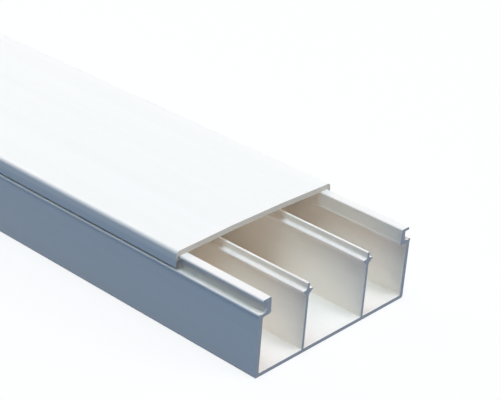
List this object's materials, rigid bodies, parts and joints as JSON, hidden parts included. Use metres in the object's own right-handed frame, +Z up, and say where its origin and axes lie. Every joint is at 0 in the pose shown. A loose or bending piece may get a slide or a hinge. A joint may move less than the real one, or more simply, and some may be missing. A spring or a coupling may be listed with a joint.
{
  "type": "cord cover raceway",
  "caption": "Rigid PVC cord cover raceway: a long open trough split by upright dividers, with hooked rims that hold a crowned clip-on cover, drawn back to show the compartments.",
  "frame": {"origin": "middle of the base channel's flat underside, the face that lies against the wall", "axes": "+X along the stock, towards the end where the cover is drawn back; +Y across the width; +Z up, from the underside to the cover"},
  "size_m": [2.0475, 0.1, 0.0403],
  "materials": {
    "white_pvc_base": "extruded rigid PVC, satin with faint die lines along the stock, sawn matt ends",
    "white_pvc_cover": "extruded rigid PVC, satin with faint die lines along the stock, sawn matt ends"
  },
  "bodies": {
    "base": {"base_channel": "white_pvc_base"},
    "cover": {"cover": "white_pvc_cover"}
  },
  "joints": [
    {"name": "cover_slide", "type": "slide", "parent": "base", "child": "cover", "axis": [1, 0, 0], "range_m": [-0.1525, 0.0475]}
  ]
}
